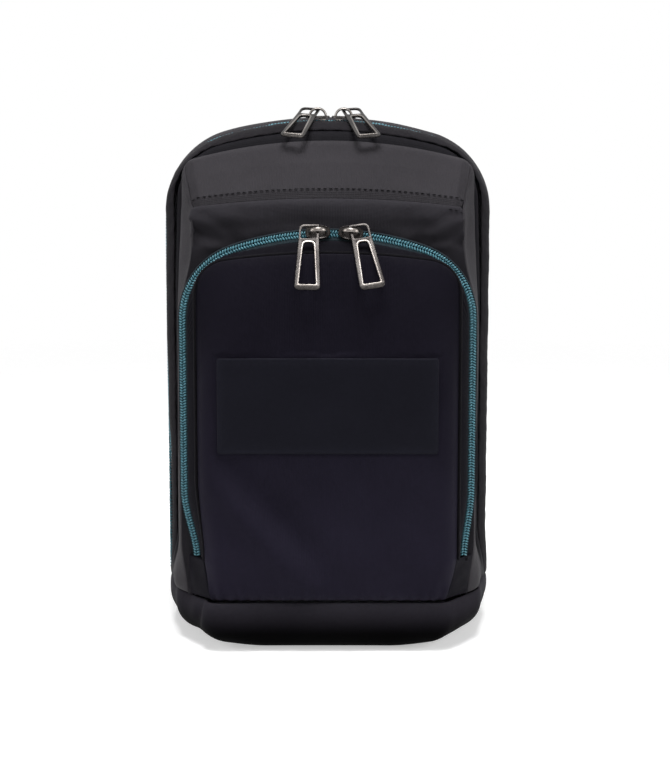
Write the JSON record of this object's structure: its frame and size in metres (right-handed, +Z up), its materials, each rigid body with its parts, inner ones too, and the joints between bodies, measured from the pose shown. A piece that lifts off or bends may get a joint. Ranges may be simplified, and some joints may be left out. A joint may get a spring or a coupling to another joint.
{
  "type": "launch monitor carrying case",
  "caption": "Upright soft zipped case for a portable golf launch monitor, with a clamshell front flap, a zipped front pocket, paired zip sliders with metal pulls, and a haul loop.",
  "frame": {"origin": "on the underside of the base, below the main zip and midway across the case", "axes": "+X to the right as seen from the front, -Y towards the front pocket, +Z up"},
  "size_m": [0.207, 0.1721, 0.332],
  "materials": {
    "shell_fabric": "matte soft-touch knit over foam",
    "pocket_fabric": "matte stretch knit, almost black",
    "trim_fabric": "woven binding",
    "patch_fabric": "smooth coated patch",
    "zip_coil": "teal nylon coil",
    "zip_tape": "dark woven tape",
    "slider_metal": "polished dark nickel",
    "webbing": "flat woven webbing",
    "lining": "brushed tricot lining",
    "foam": "closed-cell foam",
    "board": "stiffener board"
  },
  "bodies": {
    "rear_body": {"base_boot": "shell_fabric", "base_board": "board", "base_foam": "foam", "base_lining": "lining", "rear_gusset": "shell_fabric", "back_panel": "shell_fabric", "back_piping": "trim_fabric", "rear_foam_left": "foam", "rear_foam_right": "foam", "rear_foam_top": "foam", "back_foam": "foam", "rear_lining": "lining", "back_lining": "lining", "main_zip_tape_rear": "zip_tape", "main_zip_coil_rear": "zip_coil", "haul_anchor": "webbing"},
    "front_flap": {"zip_band": "shell_fabric", "flap_seam_welt": "trim_fabric", "flap_gusset_left": "shell_fabric", "flap_gusset_right": "shell_fabric", "top_panel": "shell_fabric", "yoke_panel": "shell_fabric", "front_panel": "shell_fabric", "flap_foam_left": "foam", "flap_foam_right": "foam", "flap_foam_top": "foam", "flap_foam_front": "foam", "flap_lining": "lining", "front_lining": "lining", "main_zip_tape_front": "zip_tape", "main_zip_coil_front": "zip_coil", "pocket_zip_tape_body": "zip_tape", "pocket_zip_coil_body": "zip_coil", "pocket_corner_left": "pocket_fabric", "pocket_corner_right": "pocket_fabric", "pocket_front_lower": "pocket_fabric", "zip_end_tabs": "trim_fabric"},
    "pocket_flap": {"pocket_gusset": "pocket_fabric", "pocket_piping": "trim_fabric", "pocket_face": "pocket_fabric", "pocket_foam": "foam", "pocket_lining": "lining", "pocket_zip_tape_flap": "zip_tape", "pocket_zip_coil_flap": "zip_coil", "label_patch": "patch_fabric"},
    "main_slider_left": {"main_slider_left": "slider_metal"},
    "main_slider_right": {"main_slider_right": "slider_metal"},
    "pocket_slider_left": {"pocket_slider_left": "slider_metal"},
    "pocket_slider_right": {"pocket_slider_right": "slider_metal"},
    "main_pull_left": {"main_pull_left": "slider_metal"},
    "main_pull_right": {"main_pull_right": "slider_metal"},
    "pocket_pull_left": {"pocket_pull_left": "slider_metal"},
    "pocket_pull_right": {"pocket_pull_right": "slider_metal"},
    "haul_loop": {"haul_loop": "webbing"}
  },
  "joints": [
    {"name": "front_flap_hinge", "type": "hinge", "parent": "rear_body", "child": "front_flap", "pos_m": [0, -0.084, 0.03215], "axis": [1, 0, 0], "range_deg": [0, 90]},
    {"name": "pocket_flap_hinge", "type": "hinge", "parent": "front_flap", "child": "pocket_flap", "pos_m": [0, -0.0903, 0.05815], "axis": [1, 0, 0], "range_deg": [0, 75]},
    {"name": "main_slider_left_travel", "type": "hinge", "parent": "front_flap", "child": "main_slider_left", "pos_m": [0, 0, 0.0845], "axis": [0, -1, 0], "range_deg": [0, 14]},
    {"name": "main_slider_right_travel", "type": "hinge", "parent": "front_flap", "child": "main_slider_right", "pos_m": [0, 0, 0.0845], "axis": [0, 1, 0], "range_deg": [0, 13]},
    {"name": "pocket_slider_left_travel", "type": "hinge", "parent": "pocket_flap", "child": "pocket_slider_left", "pos_m": [0, -0.0708, 0.0814], "axis": [0, -1, 0], "range_deg": [0, 15]},
    {"name": "pocket_slider_right_travel", "type": "hinge", "parent": "pocket_flap", "child": "pocket_slider_right", "pos_m": [0, -0.0708, 0.0814], "axis": [0, 1, 0], "range_deg": [0, 12.5]},
    {"name": "main_pull_left_swing", "type": "hinge", "parent": "main_slider_left", "child": "main_pull_left", "pos_m": [-0.0064, 0, 0.32892], "axis": [0.2645, 0.864, 0.4285], "range_deg": [0, 120]},
    {"name": "main_pull_right_swing", "type": "hinge", "parent": "main_slider_right", "child": "main_pull_right", "pos_m": [0.01024, 0, 0.32879], "axis": [0.2577, -0.864, -0.4326], "range_deg": [0, 120]},
    {"name": "pocket_pull_left_swing", "type": "hinge", "parent": "pocket_slider_left", "child": "pocket_pull_left", "pos_m": [-0.00594, -0.0756, 0.26044], "axis": [0.0206, 0.4221, 0.9063], "range_deg": [0, 120]},
    {"name": "pocket_pull_right_swing", "type": "hinge", "parent": "pocket_slider_right", "child": "pocket_pull_right", "pos_m": [0.01405, -0.0756, 0.25999], "axis": [0.1876, -0.4084, -0.8933], "range_deg": [0, 120]},
    {"name": "haul_loop_hinge", "type": "hinge", "parent": "rear_body", "child": "haul_loop", "pos_m": [0, 0.07755, 0.28], "axis": [1, 0, 0], "range_deg": [0, 170]}
  ]
}
